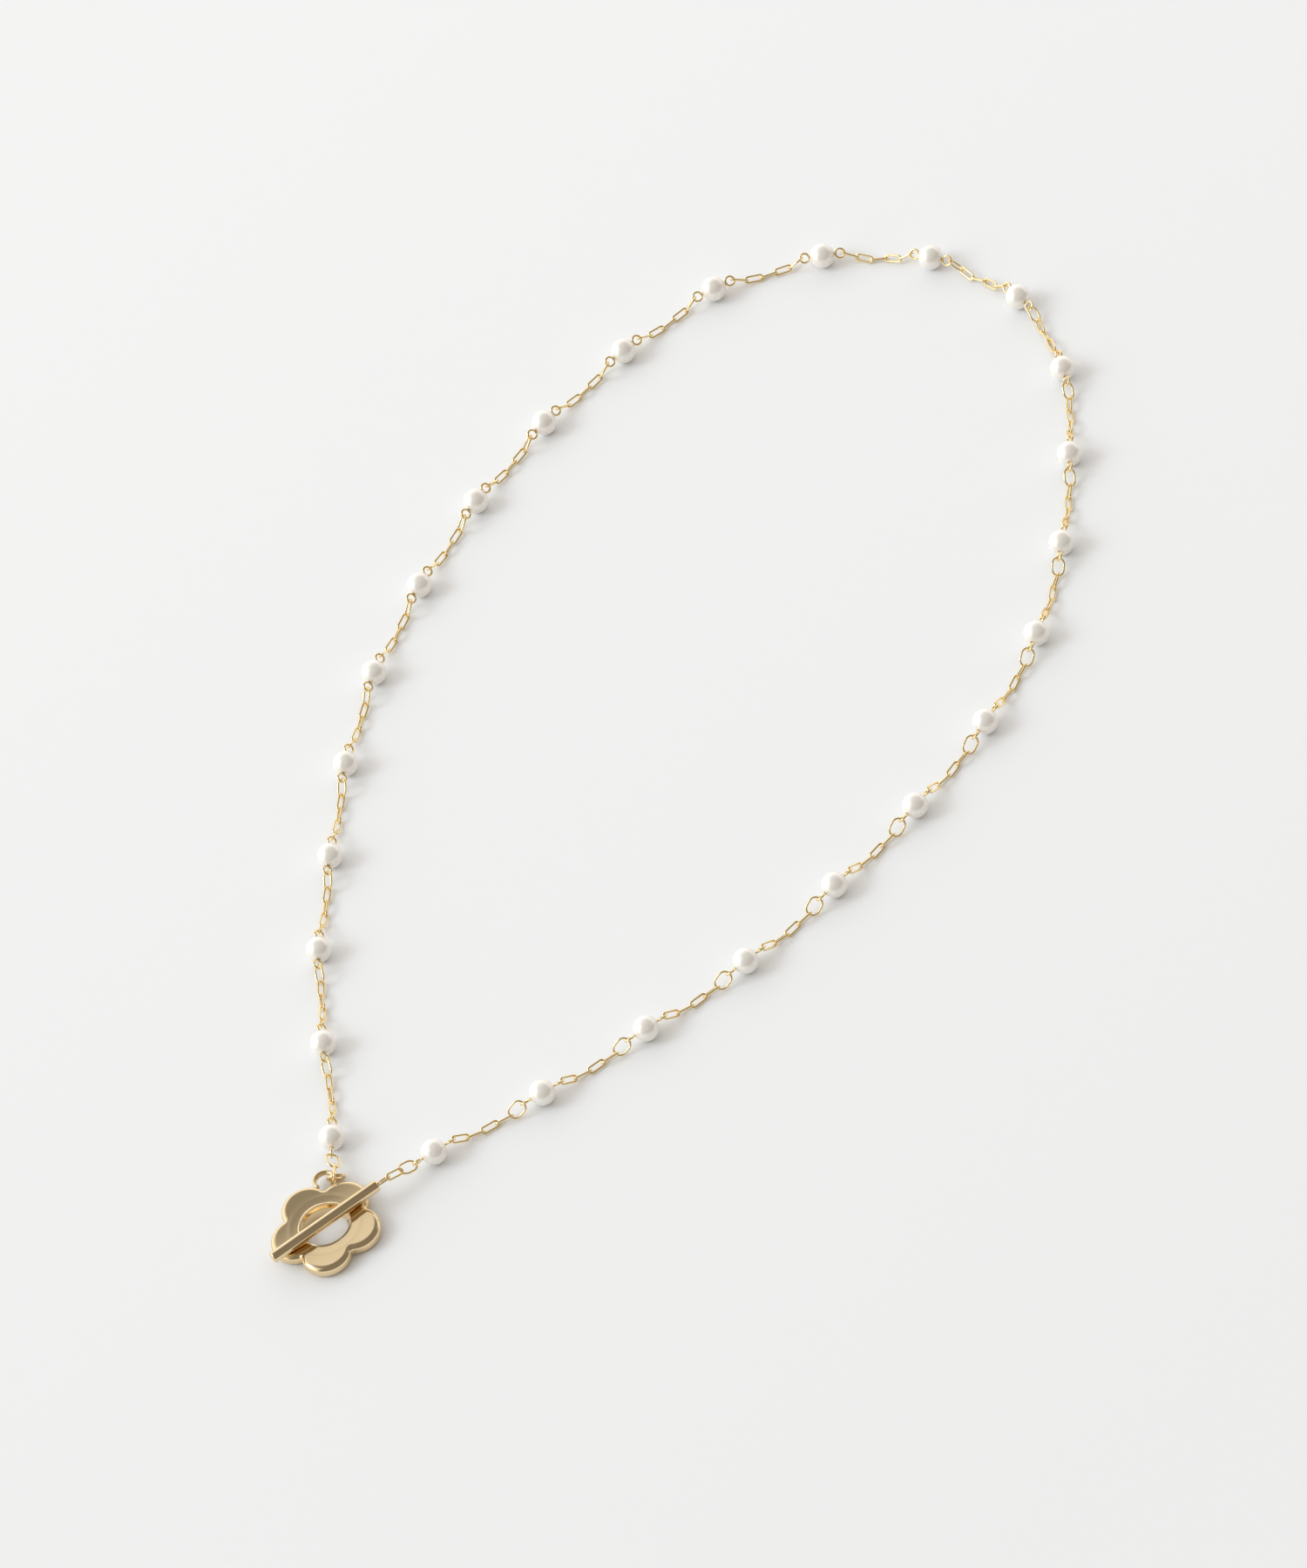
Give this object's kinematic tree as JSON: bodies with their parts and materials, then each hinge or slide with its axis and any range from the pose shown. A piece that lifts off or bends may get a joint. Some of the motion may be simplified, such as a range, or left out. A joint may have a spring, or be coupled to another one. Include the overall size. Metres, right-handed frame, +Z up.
{
  "type": "pearl station necklace",
  "caption": "Fine cable-chain necklace with small round pearls spaced evenly along it, closed by a flower-shaped ring and a toggle bar.",
  "frame": {"origin": "on the surface the necklace lies on, under the middle of its bounding box", "axes": "+Z up from the surface, +Y the longer way across the laid loop, with the clasp at low X and low Y"},
  "size_m": [0.16, 0.1691, 0.0041],
  "materials": {
    "pearl": "creamy white pearl, high lustre",
    "chain_gold": "pale gold plated wire, polished",
    "clasp_gold": "pale gold plate, mirror polished"
  },
  "bodies": {
    "station_01": {"pearl_01": "pearl", "chain_01": "chain_gold"},
    "station_02": {"pearl_02": "pearl", "chain_02": "chain_gold"},
    "station_03": {"pearl_03": "pearl", "chain_03": "chain_gold"},
    "station_04": {"pearl_04": "pearl", "chain_04": "chain_gold"},
    "station_05": {"pearl_05": "pearl", "chain_05": "chain_gold"},
    "station_06": {"pearl_06": "pearl", "chain_06": "chain_gold"},
    "station_07": {"pearl_07": "pearl", "chain_07": "chain_gold"},
    "station_08": {"pearl_08": "pearl", "chain_08": "chain_gold"},
    "station_09": {"pearl_09": "pearl", "chain_09": "chain_gold"},
    "station_10": {"pearl_10": "pearl", "chain_10": "chain_gold"},
    "station_11": {"pearl_11": "pearl", "chain_11": "chain_gold"},
    "station_12": {"pearl_12": "pearl", "chain_12": "chain_gold"},
    "station_13": {"pearl_13": "pearl", "chain_13": "chain_gold"},
    "station_14": {"pearl_14": "pearl", "chain_14": "chain_gold"},
    "station_15": {"pearl_15": "pearl", "chain_15": "chain_gold"},
    "station_16": {"pearl_16": "pearl", "chain_16": "chain_gold"},
    "station_17": {"pearl_17": "pearl", "chain_17": "chain_gold"},
    "station_18": {"pearl_18": "pearl", "chain_18": "chain_gold"},
    "station_19": {"pearl_19": "pearl", "chain_19": "chain_gold"},
    "station_20": {"pearl_20": "pearl", "chain_20": "chain_gold"},
    "station_21": {"pearl_21": "pearl", "chain_21": "chain_gold"},
    "station_22": {"pearl_22": "pearl", "chain_22": "chain_gold"},
    "station_23": {"pearl_23": "pearl", "chain_23": "chain_gold"},
    "station_24": {"pearl_24": "pearl", "chain_24": "chain_gold"},
    "station_25": {"pearl_25": "pearl", "chain_25": "chain_gold"},
    "bar_links": {"bar_chain": "chain_gold"},
    "toggle": {"toggle_bar": "clasp_gold", "bar_end_loop": "clasp_gold"},
    "end_links": {"end_chain": "chain_gold"},
    "jump_ring": {"flower_jump_ring": "clasp_gold"},
    "flower": {"flower_ring": "clasp_gold", "flower_loop": "clasp_gold"}
  },
  "joints": [
    {"name": "bend_12", "type": "hinge", "parent": "station_13", "child": "station_12", "pos_m": [0.06781, 0.0711, 0.002], "axis": [0, 0, 1], "range_deg": [0, 30]},
    {"name": "bend_11", "type": "hinge", "parent": "station_12", "child": "station_11", "pos_m": [0.07697, 0.05542, 0.002], "axis": [0, 0, 1], "range_deg": [0, 30]},
    {"name": "bend_10", "type": "hinge", "parent": "station_11", "child": "station_10", "pos_m": [0.0777, 0.0371, 0.002], "axis": [0, 0, 1], "range_deg": [0, 30]},
    {"name": "bend_09", "type": "hinge", "parent": "station_10", "child": "station_09", "pos_m": [0.07289, 0.01935, 0.002], "axis": [0, 0, 1], "range_deg": [0, 30]},
    {"name": "bend_08", "type": "hinge", "parent": "station_09", "child": "station_08", "pos_m": [0.06615, 0.00225, 0.002], "axis": [0, 0, 1], "range_deg": [0, 30]},
    {"name": "bend_07", "type": "hinge", "parent": "station_08", "child": "station_07", "pos_m": [0.05679, -0.01355, 0.002], "axis": [0, 0, 1], "range_deg": [0, 30]},
    {"name": "bend_06", "type": "hinge", "parent": "station_07", "child": "station_06", "pos_m": [0.04405, -0.0268, 0.002], "axis": [0, 0, 1], "range_deg": [0, 30]},
    {"name": "bend_05", "type": "hinge", "parent": "station_06", "child": "station_05", "pos_m": [0.02933, -0.03782, 0.002], "axis": [0, 0, 1], "range_deg": [0, 30]},
    {"name": "bend_04", "type": "hinge", "parent": "station_05", "child": "station_04", "pos_m": [0.0136, -0.04736, 0.002], "axis": [0, 0, 1], "range_deg": [0, 30]},
    {"name": "bend_03", "type": "hinge", "parent": "station_04", "child": "station_03", "pos_m": [-0.00288, -0.0555, 0.002], "axis": [0, 0, 1], "range_deg": [0, 30]},
    {"name": "bend_02", "type": "hinge", "parent": "station_03", "child": "station_02", "pos_m": [-0.02031, -0.06136, 0.002], "axis": [0, 0, 1], "range_deg": [0, 30]},
    {"name": "bend_01", "type": "hinge", "parent": "station_02", "child": "station_01", "pos_m": [-0.038, -0.06638, 0.002], "axis": [0, 0, 1], "range_deg": [0, 30]},
    {"name": "bend_bar_links", "type": "hinge", "parent": "station_01", "child": "bar_links", "pos_m": [-0.05589, -0.07057, 0.002], "axis": [0, 0, 1], "range_deg": [0, 25]},
    {"name": "bend_bar", "type": "hinge", "parent": "bar_links", "child": "toggle", "pos_m": [-0.06024, -0.07242, 0.0032], "axis": [0, 0, 1], "range_deg": [0, 25]},
    {"name": "bend_14", "type": "hinge", "parent": "station_13", "child": "station_14", "pos_m": [0.05241, 0.08077, 0.002], "axis": [0, 0, -1], "range_deg": [0, 12]},
    {"name": "bend_15", "type": "hinge", "parent": "station_14", "child": "station_15", "pos_m": [0.04584, 0.08253, 0.002], "axis": [0, 0, -1], "range_deg": [0, 30]},
    {"name": "bend_16", "type": "hinge", "parent": "station_15", "child": "station_16", "pos_m": [0.02756, 0.08197, 0.002], "axis": [0, 0, -1], "range_deg": [0, 30]},
    {"name": "bend_17", "type": "hinge", "parent": "station_16", "child": "station_17", "pos_m": [0.01082, 0.07437, 0.002], "axis": [0, 0, -1], "range_deg": [0, 30]},
    {"name": "bend_18", "type": "hinge", "parent": "station_17", "child": "station_18", "pos_m": [-0.00469, 0.06451, 0.002], "axis": [0, 0, -1], "range_deg": [0, 30]},
    {"name": "bend_19", "type": "hinge", "parent": "station_18", "child": "station_19", "pos_m": [-0.01868, 0.05258, 0.002], "axis": [0, 0, -1], "range_deg": [0, 30]},
    {"name": "bend_20", "type": "hinge", "parent": "station_19", "child": "station_20", "pos_m": [-0.03097, 0.0389, 0.002], "axis": [0, 0, -1], "range_deg": [0, 30]},
    {"name": "bend_21", "type": "hinge", "parent": "station_20", "child": "station_21", "pos_m": [-0.04156, 0.02388, 0.002], "axis": [0, 0, -1], "range_deg": [0, 30]},
    {"name": "bend_22", "type": "hinge", "parent": "station_21", "child": "station_22", "pos_m": [-0.04955, 0.00732, 0.002], "axis": [0, 0, -1], "range_deg": [0, 30]},
    {"name": "bend_23", "type": "hinge", "parent": "station_22", "child": "station_23", "pos_m": [-0.0558, -0.00998, 0.002], "axis": [0, 0, -1], "range_deg": [0, 30]},
    {"name": "bend_24", "type": "hinge", "parent": "station_23", "child": "station_24", "pos_m": [-0.06129, -0.02752, 0.002], "axis": [0, 0, -1], "range_deg": [0, 30]},
    {"name": "bend_25", "type": "hinge", "parent": "station_24", "child": "station_25", "pos_m": [-0.06432, -0.04566, 0.002], "axis": [0, 0, -1], "range_deg": [0, 30]},
    {"name": "bend_end_links", "type": "hinge", "parent": "station_25", "child": "end_links", "pos_m": [-0.0674, -0.06377, 0.002], "axis": [0, 0, -1], "range_deg": [0, 30]},
    {"name": "bend_jump_ring", "type": "hinge", "parent": "end_links", "child": "jump_ring", "pos_m": [-0.06781, -0.06854, 0.00266], "axis": [0, 0, 1], "range_deg": [0, 20]},
    {"name": "bend_flower", "type": "hinge", "parent": "jump_ring", "child": "flower", "pos_m": [-0.06797, -0.06765, 0.00132], "axis": [0, 0, -1], "range_deg": [0, 20]}
  ]
}
